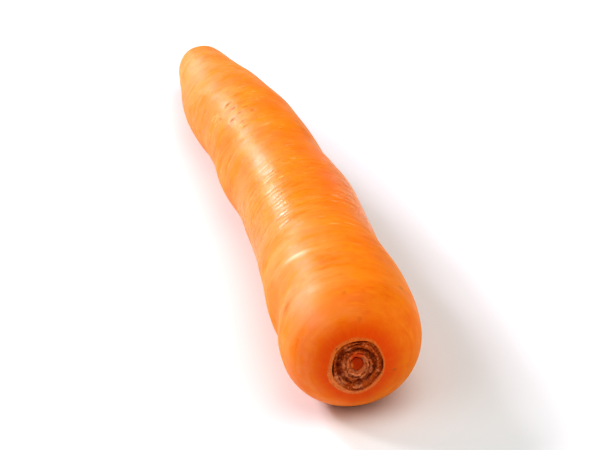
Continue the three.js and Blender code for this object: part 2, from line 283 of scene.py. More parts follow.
# Pale dry skin, and painted highlights: the patches by the tip and on the shoulder are paler where the shine
# falls.
DRY_PATCHES_AND_HIGHLIGHTS = [
    (21, 124, 7, 20, 0.85),             # by the tip
    (159, 137, 7, 15, 0.5),             # on the shoulder
    (166.5, 130, 5, 13, 0.85),
    (169, 127, 3, 12, 0.45),
    (145, 150, 6, 9, 0.35),             # beside the ridge
]
WAX_AND_GLOW = [(168, 118, 5, 18, 1)]            # a little more wax on the shoulder, its yellower colour a painted glow at the edge of the highlight

# Rings of the skin, evenly spaced down the body and closer round its two ends.
collar_share = (SCAR_RADIUS + COLLAR_WIDTH) / GIRTH[-1][1]
collar_turn = math.asin((1 - collar_share ** SHOULDER_POWER) ** (1 / SHOULDER_POWER))
body_end = LENGTH - SHOULDER_ROUND
around_tip = np.radians(np.linspace(*TIP_TURN, TIP_RINGS))
around_shoulder = np.linspace(0, collar_turn, SHOULDER_RINGS)
along = np.concatenate([
    TAIL_LENGTH + (TIP_ROUND - TAIL_LENGTH) * (1 - np.cos(around_tip)),
    np.arange(TIP_ROUND, body_end, RING_STEP),
    body_end + SHOULDER_ROUND * np.sin(around_shoulder),
])[:, None]
around = np.arange(SIDES)[None, :] * 360 / SIDES


def soft_spots(rows):
    """The sum of soft spots on the skin: along, around, reach both ways, and strength."""
    return sum(strength * bell(along - place, reach) * bell(turn_between(turn, around), spread)
               for place, turn, reach, spread, strength in rows)


girth = curve_through(GIRTH, along)
relief = OVAL * girth * np.cos(np.radians(2 * (around - OVAL_AT - OVAL_TWIST * along)))
for place, turn, reach, spread, height in SWELLINGS:
    relief += height * bell(along - place, reach) * bell(turn_between(turn, around), spread)

draw = np.random.RandomState(LUMP_SEED)
for _ in range(LUMPS):
    waves = draw.randint(0, LUMP_WAVES)
    length = draw.uniform(*LUMP_LENGTH)
    height = LUMP_HEIGHT * draw.uniform(LUMP_FAINTEST, 1)
    start = draw.uniform(0, 2 * math.pi)
    relief += height * np.sin(2 * math.pi * along / length + np.radians(waves * around) + start)

groove = np.zeros_like(relief)
for place, turn, reach, spread, depth in list_creases():
    turned = turn_between(turn, around)
    curl = CREASE_CURL * math.sin(CREASE_CURL_CHANGE * place)
    distance = along - place - curl * np.minimum((turned / spread) ** 2, CREASE_CURL_MOST)
    length = bell(turned, spread)
    groove += CREASE_SHARE * depth * bell(distance, CREASE_FLOOR * reach) * length
    lip = bell(np.abs(distance) - CREASE_LIP_AT * reach, reach)
    relief += CREASE_LIP * CREASE_SHARE * depth * lip * length
relief -= groove
for place, turn, reach, spread, depth in MARKS:
    mark = bell(along - place, reach) * bell(turn_between(turn, around), spread)
    groove += MARK_TINT * depth * mark
    relief -= depth * mark
blush_and_shade, dry_patch_and_highlight, wax = soft_spots(BLUSHES_AND_SHADE), soft_spots(DRY_PATCHES_AND_HIGHLIGHTS), soft_spots(WAX_AND_GLOW)
turned = turn_between(RIDGE_TURN, around)
pale_and_glint = bell(along - RIDGE_AT + RIDGE_SLANT * turned, RIDGE_REACH) * bell(turned, RIDGE_SPREAD)
relief += RIDGE_HEIGHT * pale_and_glint

into_tip = np.clip(1 - along / TIP_ROUND, 0, 1)
into_shoulder = np.clip((along - body_end) / SHOULDER_ROUND, 0, 1)
share = np.sqrt(1 - into_tip ** 2) * (1 - into_shoulder ** SHOULDER_POWER) ** (1 / SHOULDER_POWER)
to_scar = rise_between(SCAR_PULL_FROM, collar_share, share) * (along > body_end)
skin = share * (girth + (1 - to_scar) * relief) * (1 + to_scar * (scar_shape(around) - 1))
shift = np.where(along > body_end, (1 - share) / (1 - collar_share), 0)

# The tail before those rings, and the scar after them, as (along, radius) paths.
collar_along = float(along[-1, 0])
rim_along = collar_along + COLLAR_HEIGHT
recess_floor = rim_along - SCAR_DEPTH
tail = rounded_path([
    (0, ON_AXIS), (TAIL_EDGE[0], TAIL_EDGE[1] * TAIL_RADIUS), (TAIL_LENGTH, TAIL_RADIUS), TAIL_FOOT,
], CORNER_CUTS, SCAR_STEP)
scar = rounded_path([
    (collar_along, SCAR_RADIUS + COLLAR_WIDTH),
    *((rim_along, SCAR_RADIUS + outward * COLLAR_WIDTH) for outward in COLLAR_TOP),
    (recess_floor, SCAR_RADIUS),
    *((recess_floor + rise * HEART_HEIGHT, size * HEART_RADIUS) for rise, size in HEART_CROWN),
    (recess_floor + HEART_HEIGHT, ON_AXIS),
], CORNER_CUTS, SCAR_STEP)[1:]
stations = np.concatenate([tail[:, :1], along, scar[:, :1]])
radii = np.concatenate([
    tail[:, 1:] * np.ones_like(around), skin, scar[:, 1:] * scar_shape(around),
])

side, up, _ = section_axes(stations[:, 0])
turn = np.radians(around)[..., None]
shifts = np.concatenate([0 * tail[:, :1], shift, 0 * scar[:, :1] + 1])
middle = axis_at(stations[:, 0]) + shifts * (side * SCAR_MIDDLE[0] + up * SCAR_MIDDLE[1])
points = middle[:, None] \
    + (side[:, None] * np.cos(turn) + up[:, None] * np.sin(turn)) * radii[..., None]
points[..., 2] = np.maximum(points[..., 2], 0)       # flattened where it rests

# From the form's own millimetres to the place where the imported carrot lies.
root_low, root_high = (np.array(corner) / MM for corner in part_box("carrot_root"))
origin = np.array([
    root_low[0],
    (root_low[1] + root_high[1] - points[..., 1].min() - points[..., 1].max()) / 2,
    0,
])
points += origin

# What the material and the fine relief need to know of each point, as numbers from 0 to 1. The
# cork of the collar is wider in places: around, spread, and by how many millimetres.
CORK_WIDTH = 0.85
CORK_WIDER = [(218, 38, 0.7), (312, 28, 0.4), (98, 18, 0.3), (140, 25, 0.2), (0, 30, -0.5)]
CORK_FADE = 0.5
CORK_INSIDE = (-0.3, 0.1)               # from bare recess to cork, over the scar's radius
CORK_BEFORE = 1.5                       # how far it may reach down the shoulder
HEART_SIDE = (0.4, 0.1)                 # from bare recess to heart, over the heart's radius
HEART_GLINT_AT = 186                     # a painted glint, a pale edge on one side of the heart
HEART_GLINT_SPREAD = 32
HEART_GLINT_INSIDE = 0.2
HEART_GLINT_REACH = 0.35
steps = np.linalg.norm(np.diff(points, axis=0), axis=-1).mean(1)
walk = np.concatenate([[0], np.cumsum(steps)])[:, None] + 0 * around
scar_start = float(walk[len(tail) + len(along) - 1, 0])
is_tail = (np.arange(len(stations)) < len(tail))[:, None]
is_scar = (np.arange(len(stations)) >= len(tail) + len(along))[:, None]
ring_radius = radii / scar_shape(around)
cork_width = CORK_WIDTH + sum(more * bell(turn_between(turn, around), spread)
                              for turn, spread, more in CORK_WIDER)
cork_before = rise_between(SCAR_RADIUS + cork_width + CORK_FADE,
                           SCAR_RADIUS + cork_width - CORK_FADE, ring_radius)
cork = np.where(is_scar,
                rise_between(*(SCAR_RADIUS + more for more in CORK_INSIDE), ring_radius),
                (stations > collar_along - CORK_BEFORE) * cork_before)
heart = is_scar * rise_between(*(HEART_RADIUS + more for more in HEART_SIDE), ring_radius)
pit = is_scar * (1 - cork) * (1 - heart)
heart_glint = is_scar * bell(turn_between(HEART_GLINT_AT, around), HEART_GLINT_SPREAD) \
    * bell(ring_radius - HEART_RADIUS + HEART_GLINT_INSIDE, HEART_GLINT_REACH)
tail_mark = is_tail * rise_between(TAIL_RADIUS + TAIL_SCAR, TAIL_RADIUS, radii)


def on_skin_only(values):
    """Values of the skin's rings, with none on the tail and the scar."""
    return np.concatenate([np.zeros((len(tail), SIDES)), values, np.zeros((len(scar), SIDES))])


def keep_values(mesh, name, values):
    """Stores a number for each point of a mesh, for its material to read."""
    layer = mesh.attributes.new(name, "FLOAT", "POINT")
    layer.data.foreach_set("value", values.ravel().astype(np.float32))


corner = np.arange(radii.size).reshape(radii.shape)
this, following = corner[:-1].ravel(), np.roll(corner, -1, 1)[:-1].ravel()
quads = np.stack([this, following, following + SIDES, this + SIDES], 1).tolist()
ends = [corner[0, ::-1].tolist(), corner[-1].tolist()]
form = bpy.data.meshes.new("carrot_skin")
form.from_pydata((points.reshape(-1, 3) * MM).tolist(), [], quads + ends)
on_points = {
    "groove": on_skin_only(groove),
    "pale_and_glint": np.where(is_scar, heart_glint, on_skin_only(pale_and_glint)),
    "blush_and_shade": on_skin_only(blush_and_shade),
    "dry_patch_and_highlight": on_skin_only(dry_patch_and_highlight),
    "wax": on_skin_only(wax),
    "cork": cork,
    "pit": pit,
    "heart": heart,
    "tail": tail_mark,
}
for name, values in on_points.items():
    keep_values(form, name, values)
place = np.stack([walk, np.cos(turn[..., 0]) + 0 * walk, np.sin(turn[..., 0]) + 0 * walk], -1)
layer = form.attributes.new("place", "FLOAT_VECTOR", "POINT")
layer.data.foreach_set("vector", place.ravel().astype(np.float32))
form.shade_smooth()
root = bpy.data.objects.new("carrot_skin", form)
bpy.context.scene.collection.objects.link(root)


class Flow:
    """A socket in a node tree. Python's operators on it add Math nodes behind it."""

    def __init__(self, tree, socket=None):
        self.tree = tree
        self.socket = socket

    def node(self, kind, settings=None, values=None, output=0):
        """Adds a node: its settings come first, then its sockets' values or links."""
        node = self.tree.nodes.new(kind)
        for name, setting in (settings or {}).items():
            setattr(node, name, setting)
        for name, value in (values or {}).items():
            if isinstance(value, Flow):
                self.tree.links.new(value.socket, node.inputs[name])
            else:
                node.inputs[name].default_value = value
        return Flow(self.tree, node.outputs[output] if node.outputs else None)

    def out(self, name):
        """Another output of the same node."""
        return Flow(self.tree, self.socket.node.outputs[name])

    def math(self, operation, *terms):
        return self.node("ShaderNodeMath", {"operation": operation}, dict(enumerate(terms)))

    def __add__(self, other):
        return self.math("ADD", self, other)

    def __sub__(self, other):
        return self.math("SUBTRACT", self, other)

    def __rsub__(self, other):
        return self.math("SUBTRACT", other, self)

    def __mul__(self, other):
        return self.math("MULTIPLY", self, other)

    def __truediv__(self, other):
        return self.math("DIVIDE", self, other)

    def __rtruediv__(self, other):
        return self.math("DIVIDE", other, self)

    def __pow__(self, other):
        return self.math("POWER", self, other)

    def __abs__(self):
        return self.math("ABSOLUTE", self)

    __radd__ = __add__
    __rmul__ = __mul__

    def rise(self, low, high):
        """0 below low and 1 above high, with a soft change between."""
        return self.node("ShaderNodeMapRange", {"interpolation_type": "SMOOTHSTEP"},
                         {"Value": self, "From Min": low, "From Max": high})

    def parts(self):
        """The three numbers of a vector."""
        split = self.node("ShaderNodeSeparateXYZ", {}, {0: self})
        return split, split.out(1), split.out(2)

    def vector(self, x, y, z):
        return self.node("ShaderNodeCombineXYZ", {}, {0: x, 1: y, 2: z})

    def scaled(self, factor):
        """A vector, longer by a factor."""
        return self.node("ShaderNodeVectorMath", {"operation": "SCALE"}, {0: self, "Scale": factor})

    def own(self, name, output="Fac"):
        """One of the piece's own attributes, in a material."""
        return self.node("ShaderNodeAttribute", {"attribute_name": name}, {}, output)

    def named(self, name, kind="FLOAT"):
        """The same in a geometry tree."""
        return self.node("GeometryNodeInputNamedAttribute", {"data_type": kind}, {"Name": name})

    def stored(self, name, value, domain="POINT"):
        """Geometry with a value kept under a name, for a material to read."""
        kinds = {"data_type": "FLOAT", "domain": domain}
        return self.node("GeometryNodeStoreNamedAttribute", kinds,
                         {"Geometry": self, "Name": name, "Value": value})

    def end_in(self, material):
        """Ends a geometry tree: every copy is made real, and the material is set."""
        real = self.node("GeometryNodeRealizeInstances", {}, {"Geometry": self})
        coated = self.node("GeometryNodeSetMaterial", {}, {"Geometry": real, "Material": material})
        self.node("NodeGroupOutput", {}, {"Geometry": coated})

    def noise(self, at, scale=1.0, detail=2.0, roughness=0.5):
        """Soft noise round 0.5."""
        return self.node("ShaderNodeTexNoise", {}, {
            "Vector": at, "Scale": scale, "Detail": detail, "Roughness": roughness})

    def mix(self, amount, start, end):
        """Colour between start and end."""
        sockets = {0: amount, 6: start, 7: end}
        sockets = {key: (*value, 1) if isinstance(value, tuple) else value
                   for key, value in sockets.items()}
        return self.node("ShaderNodeMix", {"data_type": "RGBA"}, sockets, 2)


def geometry_tree(name, sizes):
    """A Geometry Nodes tree with a named input for each size. Gives its Flow and its inputs."""
    tree = bpy.data.node_groups.new(name, "GeometryNodeTree")
    kinds = {bool: "NodeSocketBool", int: "NodeSocketInt", float: "NodeSocketFloat"}
    tree.interface.new_socket("Geometry", in_out="INPUT", socket_type="NodeSocketGeometry")
    tree.interface.new_socket("Geometry", in_out="OUTPUT", socket_type="NodeSocketGeometry")
    for size, value in sizes.items():
        tree.interface.new_socket(size, in_out="INPUT", socket_type=kinds[type(value)])
    start = Flow(tree).node("NodeGroupInput")
    return start, {size: start.out(size) for size in sizes}


def run_tree(piece, tree, sizes):
    """Runs the tree on a piece and keeps the result as the piece's plain mesh."""
    modifier = piece.modifiers.new(tree.name, "NODES")
    modifier.node_group = tree
    for item in tree.interface.items_tree:
        if item.in_out == "INPUT" and item.name in sizes:
            modifier[item.identifier] = sizes[item.name]
    depsgraph = bpy.context.evaluated_depsgraph_get()
    mesh = bpy.data.meshes.new_from_object(
        piece.evaluated_get(depsgraph), preserve_all_data_layers=True, depsgraph=depsgraph)
    piece.modifiers.remove(modifier)
    piece.data = mesh


# The skin: watery orange flesh under a thin clear wax, paler across its stretched rings, darker in its
# creases, redder by the scar. Painted highlights make it paler down its lit left side, on the shoulder, by
# the tip and on the fold's ridge; painted shade darkens it over the back and in the deeper marks.
SKIN_ORANGE = (0.82, 0.215, 0.001)
SKIN_PALE = (0.86, 0.275, 0.012)
SKIN_DEEP = (0.79, 0.160, 0.0005)
SKIN_RED = (0.76, 0.098, 0.0)
SKIN_DRY_AND_SHEEN = (0.89, 0.380, 0.230)
STRETCH_PALE_AND_GLINT = (0.95, 0.510, 0.290)
CREASE_BROWN = (0.40, 0.150, 0.020)
MARK_BROWN_AND_SHADE = (0.30, 0.200, 0.040)
CORK_TAN = (0.72, 0.240, 0.050)
CORK_PALE = (0.85, 0.290, 0.100)
CORK_DARK = (0.32, 0.075, 0.015)
PIT_BROWN = (0.400, 0.055, 0.005)
HEART_ORANGE = (0.50, 0.060, 0.004)
HEART_GLINT = (0.90, 0.300, 0.060)
RED_REACH = 6.6                         # the redder skin starts this far before the scar
RED_FULL = 1                            # and is full here
LIT_SIDE_SHEEN = 0.22                         # how strong the painted sheen down the lit left side is
DASHES_END = (160.0, 140.0)             # no short pale dashes past here
PORES = (8, 1.7)                        # millimetres between them along, and how close around
SHOULDER_DULL = (127.0, 139.0)          # the skin is duller past here
TIP_DULL = (106.0, 84.0)                # and before here

waxy = bpy.data.materials.new("carrot_skin_wax")
waxy.use_nodes = True
waxy.node_tree.nodes.clear()
flow = Flow(waxy.node_tree)

walked, across, upward = flow.own("place", "Vector").parts()
unrolled = flow.vector(walked * 0.11, across * 1.2, upward * 1.2)
streaked = flow.vector(walked * 0.9, across * 2.6, upward * 2.6)
radial = flow.vector(walked * 0.16, across * 13, upward * 13)
in_mm = flow.node("ShaderNodeTexCoord", {}, {}, "Object").scaled(1 / MM)
near_scar = walked.rise(scar_start - RED_REACH, scar_start - RED_FULL)

patches = flow.noise(unrolled, 1.0, 3.0)
streaks = flow.noise(streaked, 1.0, 3.0, 0.6)
fibres = flow.noise(radial, 1.0, 3.0, 0.6)
specks = flow.noise(in_mm, 1.1, 4.0, 0.65)
mottle = flow.noise(flow.vector(walked * 0.42, across * 4.5, upward * 4.5), 1.0, 3.0, 0.55)
dashes = flow.noise(flow.vector(walked * 1.5, across * 4.5, upward * 4.5), 1.0, 1.0)
dashes = dashes.rise(0.64, 0.74) * patches.rise(0.4, 0.6) * walked.rise(*DASHES_END)
spaced = flow.vector(walked / PORES[0], across * PORES[1], upward * PORES[1])
cells = flow.node("ShaderNodeTexVoronoi", {}, {"Vector": spaced, "Scale": 1.0})
pores = cells.rise(0.11, 0.04) * cells.out("Color").parts()[0].rise(0.45, 0.55)
color = flow.mix(patches.rise(0.4, 0.7) * 0.4, SKIN_ORANGE, SKIN_PALE)
color = flow.mix(patches.rise(0.5, 0.25) * 0.5, color, SKIN_DEEP)
color = flow.mix(streaks.rise(0.52, 0.7) * 0.7, color, SKIN_PALE)
color = flow.mix(streaks.rise(0.46, 0.3) * 0.6, color, SKIN_DEEP)
color = flow.mix(mottle.rise(0.54, 0.68) * 0.5, color, SKIN_DEEP)
color = flow.mix(mottle.rise(0.46, 0.34) * 0.3, color, SKIN_PALE)
color = flow.mix(specks.rise(0.6, 0.72) * 0.3, color, SKIN_DEEP)
# Painted sheen: the left side, where the light falls, is paler.
lit_side_sheen = across.rise(0.4, -0.4) \
    * flow.noise(flow.vector(walked * 0.3, across * 2, upward * 2)).rise(0.3, 0.6)
color = flow.mix(lit_side_sheen * (1 - near_scar) * LIT_SIDE_SHEEN, color, SKIN_DRY_AND_SHEEN)
# Pale dry skin, with painted highlights on the shoulder and by the tip.
color = flow.mix(flow.own("dry_patch_and_highlight") * (0.5 + 0.2 * streaks.rise(0.35, 0.65)), color, SKIN_DRY_AND_SHEEN)
# Darker spots; the one over the back is painted shade.
color = flow.mix(flow.own("blush_and_shade"), color, SKIN_DEEP)
color = flow.mix(flow.own("wrinkle") * 0.4, color, SKIN_PALE)
# Painted glow: paler skin at the edge of the shoulder's highlight.
color = flow.mix(flow.own("wax") * 0.6, color, SKIN_PALE)
color = flow.mix(near_scar * (0.8 + 0.15 * fibres.rise(0.35, 0.65)), color, SKIN_RED)
# Pale stretch dashes, and the fold's ridge, pale partly as a painted highlight.
color = flow.mix(flow.math("MAXIMUM", dashes * 0.45, flow.own("pale_and_glint") * 0.9), color, STRETCH_PALE_AND_GLINT)
color = flow.mix(flow.own("groove").rise(0.03, 0.3) * 0.55, color, CREASE_BROWN)
# The deeper marks are painted dark: brown colour and painted shade in their grooves.
color = flow.mix(flow.own("groove").rise(0.25, 0.5) * 0.85, color, MARK_BROWN_AND_SHADE)
color = flow.mix(pores * 0.45, color, CREASE_BROWN)

# The scar: cork that is paler and thicker below, and browner above.
below = (across * -0.25 - upward * 0.95) * 0.5 + 0.5
ragged = flow.noise(in_mm, 1.1, 3.0)
crumbly = flow.noise(in_mm, 2.0, 4.0, 0.7)
tanned = flow.mix(crumbly.rise(0.2, 0.55), CORK_DARK, flow.mix(below, CORK_TAN, CORK_PALE))
cork_here = (flow.own("cork") + (ragged - 0.5) * 1.0).rise(0.3, 0.9) * (0.6 + 0.3 * below)
color = flow.mix(cork_here, color, tanned)
color = flow.mix(flow.own("pit"), color, PIT_BROWN)
# Painted glint: a pale edge on one side of the heart.
heart_color = flow.mix(flow.own("pale_and_glint") * 0.9, HEART_ORANGE, HEART_GLINT)
heart_color = flow.mix(crumbly.rise(0.55, 0.7) * 0.4, heart_color, PIT_BROWN)
color = flow.mix(flow.own("heart"), color, heart_color)
tail_here = (flow.own("tail") + (ragged - 0.5) * 0.6).rise(0.4, 0.7)
color = flow.mix(tail_here, color, tanned)

dry = flow.math("MAXIMUM", flow.math("MAXIMUM", cork_here, flow.own("pit")),
                flow.math("MAXIMUM", flow.own("heart"), tail_here))
roughness = 0.21 + 0.04 * patches.rise(0.3, 0.7) + 0.06 * mottle.rise(0.35, 0.65) \
    + 0.12 * streaks.rise(0.4, 0.7) \
    + (0.19 - 0.08 * flow.own("pale_and_glint")) * walked.rise(*SHOULDER_DULL) \
    + 0.15 * walked.rise(*TIP_DULL) + 0.12 * flow.own("dry_patch_and_highlight") \
    + 0.4 * flow.own("groove").rise(0.3, 0.7) + dry * 0.4
fine_rings = flow.noise(flow.vector(walked * 2.2, across * 4, upward * 4), 1.0, 3.0, 0.6)
grain = flow.noise(in_mm, 2.6, 3.0, 0.6)
bump = flow.node("ShaderNodeBump", {}, {
    "Strength": 1.0, "Distance": 0.001,
    "Height": fine_rings * 0.05 * (1 - dry) + grain * (0.04 + 0.25 * dry)
    + dashes * 0.03 - pores * 0.12})
shader = flow.node("ShaderNodeBsdfPrincipled", {}, {
    "Base Color": color,
    "Roughness": roughness,
    "Normal": bump,
    "IOR": 1.4,
    "Specular IOR Level": 0.18,
    "Subsurface Weight": 0.3,
    "Subsurface Radius": (1.0, 0.28, 0.06),
    "Subsurface Scale": 0.0025,
    "Coat Weight": (0.05 + 0.1 * flow.own("wax")) * (1 - dry),
    "Coat Roughness": 0.38,
})
flow.node("ShaderNodeOutputMaterial", {}, {"Surface": shader})

# Fine relief, by rule: cross wrinkles in patches, and the crumbly cork, ring and heart of the
# scar. The wrinkles are deepest where the root is thickest, and fade at the tip and the scar.
WRINKLES_START = (8.0, 16.0)            # along
WRINKLES_END = (11, 24)                 # before the scar
WRINKLES_DEEPEST = 120
WRINKLES_FADE = (38.0, 14.0)            # from there
WRINKLES_FAINTEST = 0.35
relief_sizes = {
    "Pitch": 1.5, "Depth": 0.11, "Patch length": 16.0, "Cork": 0.22, "Heart": 0.2,
}
start, size = geometry_tree("skin_relief", relief_sizes)
walked, across, upward = start.named("place", "FLOAT_VECTOR").parts()
in_mm = start.node("GeometryNodeInputPosition").scaled(1 / MM)
wave = start.noise(start.vector(walked / size["Pitch"], across * 1.8, upward * 1.8), 1.0, 2.0)
ridge = 1 - abs(wave - 0.5) * 5
patch = start.noise(start.vector(walked / size["Patch length"], across * 1.3, upward * 1.3), 1.0)
rough_cork = start.named("cork") + start.named("pit") + start.named("tail")
on_skin = 1 - start.named("cork") - start.named("pit") - start.named("heart") - start.named("tail")
body = walked.rise(*WRINKLES_START) \
    * walked.rise(*(scar_start - before for before in WRINKLES_END))
deepest = WRINKLES_FAINTEST \
    + (1 - WRINKLES_FAINTEST) * abs(walked - WRINKLES_DEEPEST).rise(*WRINKLES_FADE)
wrinkles = ridge.rise(0.0, 1.0) * patch.rise(0.34, 0.56) * on_skin * body * deepest
crumbs = start.noise(in_mm, 1.5, 3.0, 0.6) - 0.5
lumps = start.noise(in_mm, 0.9, 2.0) - 0.5
height = wrinkles * size["Depth"] + crumbs * size["Cork"] * rough_cork \
    + lumps * size["Heart"] * start.named("heart")
offset = start.node("GeometryNodeInputNormal").scaled(height * MM)
moved = start.node("GeometryNodeSetPosition", {}, {"Geometry": start, "Offset": offset})
moved.stored("wrinkle", wrinkles).end_in(waxy)
run_tree(root, start.tree, relief_sizes)


def keep_within(mesh, low, high):
    """Brings the points that stand out of a box back to its sides."""
    flat = np.empty(3 * len(mesh.vertices), np.float32)
    mesh.vertices.foreach_get("co", flat)
    mesh.vertices.foreach_set("co", np.clip(flat.reshape(-1, 3), low, high).ravel())
    mesh.update()


keep_within(root.data, *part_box("carrot_root"))
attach(root, "root")
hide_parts("carrot_root")


# ---------------------------------------------------------------- the leaf-stalk stubs
# What is left of the leaves in the scar: rings of thin curved stalk walls, cut short, dried brown
# and torn into fibres, with near-black gaps between. They grow from one pad round the heart.
STALK_RINGS = [
    {"Count": 3, "First": 355.0, "Radius": 5.0, "Thickness": 1.0, "Height": 1.7,
     "Rotted": 0.6},
    {"Count": 4, "First": 30.0, "Radius": 3.6, "Thickness": 0.8, "Height": 1.35},
    {"Count": 3, "First": 80.0, "Radius": 2.55, "Thickness": 0.55, "Height": 1.1},
]
STALK_OVERLAP = 16.0                    # degrees by which a stalk wall passes its neighbour
STALK_ROTTED_AT = 170                   # the outer ring is low on this side
GAP = 0.3                               # between the root and the stalk bases
PAD_THICKNESS = 0.6
STALK_STEPS = 97                        # points along a wall
STALK_PROFILE = 33                      # and around its section
WELD = 0.00001

dry_stalk = bpy.data.materials.new("dried_leaf_stalk")
dry_stalk.use_nodes = True
dry_stalk.node_tree.nodes.clear()

stalk_sizes = {
    "Count": 3, "First": 0.0, "Span": 136.0, "Radius": 4.5, "Thickness": 1.0, "Low": 0.0,
    "Height": 1.7, "Drift": 0.4, "Taper": 1.0, "Turn": 8.0, "Ragged": 0.9, "Fibre": 0.32,
    "Rotted": 0.0, "Seed": 1,
}
start, size = geometry_tree("leaf_bases", stalk_sizes)
sheet = start.node("GeometryNodeMeshGrid", {}, {
    "Size X": 1.0, "Size Y": 1.0, "Vertices X": STALK_STEPS, "Vertices Y": STALK_PROFILE})
spots = start.node("GeometryNodeMeshLine", {}, {"Count": size["Count"], "Offset": (0, 0, 0)})
copies = start.node("GeometryNodeInstanceOnPoints", {}, {"Points": spots, "Instance": sheet})
numbered = copies.stored("stalk", start.node("GeometryNodeInputIndex"), "INSTANCE")
sheets = start.node("GeometryNodeRealizeInstances", {}, {"Geometry": numbered})
stalk = start.named("stalk")
stray = start.node("FunctionNodeRandomValue", {"data_type": "FLOAT"},
                   {"ID": stalk, "Seed": size["Seed"]}, 1)
wide, tall, _ = start.node("GeometryNodeInputPosition").parts()
wide, tall = wide + 0.5, tall + 0.5
degrees = size["First"] + 360 / size["Count"] * stalk + size["Turn"] * (stray - 0.5) \
    + size["Span"] * wide
turn = degrees * (math.pi / 180)
cosine, sine = start.math("COSINE", turn), start.math("SINE", turn)
swell = start.math("SINE", (wide * 0.96 + 0.02) * math.pi)
half = size["Thickness"] * 0.5 * (1 - size["Taper"] * (1 - swell ** 0.6))
angle = tall * (2 * math.pi)


def squared(wave, power):
    """A sine wave with flatter tops."""
    return start.math("SIGN", wave) * abs(wave) ** power


out = squared(start.math("COSINE", angle), 0.7)
rise = squared(start.math("SINE", angle), 0.6) * 0.5 + 0.5
torn = start.noise(start.vector(cosine * 3.2, sine * 3.2, stalk * 7 + size["Seed"] * 3), 1.6, 4.0)
rotted_side = start.math("COSINE", turn - math.radians(STALK_ROTTED_AT)).rise(0.45, 0.95)
rotted = 1 - size["Rotted"] * rotted_side
top = size["Height"] * (1 - 0.2 * size["Taper"] * (1 - swell)) * rotted \
    + size["Ragged"] * (torn - 0.5) * 1.4
height = size["Low"] + (top - size["Low"]) * rise
strand = start.noise(start.vector(degrees * 0.16, height * 0.35, out + size["Seed"] * 5), 1.0, 3.0)
middle = size["Radius"] + size["Drift"] * (0.5 - wide)
wavy = start.noise(start.vector(cosine * 2, sine * 2, height * 0.5 + size["Seed"]), 1.3, 2.0)
corners = start.math("COSINE", SCAR_CORNERS * (turn - math.radians(SCAR_CORNER_AT)))
lobe = start.math("COSINE", turn - math.radians(SCAR_LOBE_AT)).rise(0.75, 1.0)
off_round = SCAR_CORNER * corners - SCAR_OVAL * start.math("COSINE", 2 * turn) \
    + SCAR_LOBE * lobe + 1
radius = (middle + half * out * (0.75 + 0.5 * strand)
          + size["Fibre"] * (strand - 0.5) * rise.rise(0.1, 0.9) + 1.1 * (wavy - 0.5)) * off_round
place = start.vector(height * MM, radius * cosine * MM, radius * sine * MM)
placed = start.node("GeometryNodeSetPosition", {}, {"Geometry": sheets, "Position": place})
welded = start.node("GeometryNodeMergeByDistance", {}, {"Geometry": placed, "Distance": WELD})
marked = welded.stored("frayed", rise.rise(0.8, 1.0) * strand.rise(0.4, 0.7))
start.node("GeometryNodeSetShadeSmooth", {}, {"Geometry": marked}).end_in(dry_stalk)
walls_tree = start.tree

pad = {
    "Count": 1, "First": 0.0, "Span": 360.0, "Radius": (SCAR_RADIUS + HEART_RADIUS) / 2,
    "Thickness": SCAR_RADIUS - HEART_RADIUS + 0.2, "Height": GAP + PAD_THICKNESS, "Low": -0.1,
    "Drift": 0.0, "Taper": 0.0, "Turn": 0.0, "Ragged": 0.3, "Seed": 9,
}
sheath = {
    "Count": 1, "First": 40.0, "Span": 360.0, "Radius": 5.9, "Thickness": 1.35, "Low": 0.2,
    "Height": 1.45, "Drift": 0.0, "Taper": 0.0, "Turn": 0.0, "Ragged": 0.7, "Seed": 12,
}
clumps = [pad, sheath]
for number, ring in enumerate(STALK_RINGS):
    rooted = {"Low": GAP, "Height": GAP + ring["Height"], "Seed": number + 2}
    clumps.append({**ring, "Span": 360 / ring["Count"] + STALK_OVERLAP, **rooted})

# Loose fibres stand on the walls, thin and bent, leaning every way.
fibre_sizes = {
    "Count": 200, "Inner": 2.0, "Outer": 5.4, "Foot": 0.75, "Length": 0.85, "Width": 0.055,
    "Lean": 1.15, "Bend": 0.45, "Seed": 5,
}
start, size = geometry_tree("torn_fibres", fibre_sizes)


def any_of(low, high, number):
    """A random number for each fibre."""
    return start.node("FunctionNodeRandomValue", {"data_type": "FLOAT"},
                      {2: low, 3: high, "Seed": size["Seed"] + number}, 1)


turn = any_of(0.0, 2 * math.pi, 1)
spread = any_of(size["Inner"] ** 2, size["Outer"] ** 2, 2) ** 0.5
spots = start.node("GeometryNodeMeshLine", {}, {"Count": size["Count"], "Offset": (0, 0, 0)})
strewn = start.node("GeometryNodeSetPosition", {}, {
    "Geometry": spots,
    "Position": start.vector((size["Foot"] + any_of(-0.15, 0.35, 3)) * MM,
                             spread * start.math("COSINE", turn) * MM,
                             spread * start.math("SINE", turn) * MM)})
fibre = start.node("GeometryNodeMeshCone", {}, {
    "Vertices": 6, "Side Segments": 5, "Radius Top": 0.35, "Radius Bottom": 1.0, "Depth": 1.0})
tilt = start.vector(size["Lean"] * any_of(-1.0, 1.0, 4), math.pi / 2,
                    size["Lean"] * any_of(-1.0, 1.0, 5))
thick = size["Width"] * any_of(0.6, 1.5, 6) * MM
copies = start.node("GeometryNodeInstanceOnPoints", {}, {
    "Points": strewn, "Instance": fibre, "Rotation": tilt,
    "Scale": start.vector(thick, thick, size["Length"] * any_of(0.4, 1.0, 7) * MM)})
marked = copies.stored("frayed", any_of(0.2, 1.0, 8), "INSTANCE")
loose = start.node("GeometryNodeRealizeInstances", {}, {"Geometry": marked})
here = start.node("GeometryNodeInputPosition")
wind = start.node("ShaderNodeTexNoise", {}, {"Vector": here, "Scale": 900.0, "Detail": 1.0}, 1)
centred = start.node("ShaderNodeVectorMath", {"operation": "SUBTRACT"},
                     {0: wind, 1: (0.5, 0.5, 0.5)})
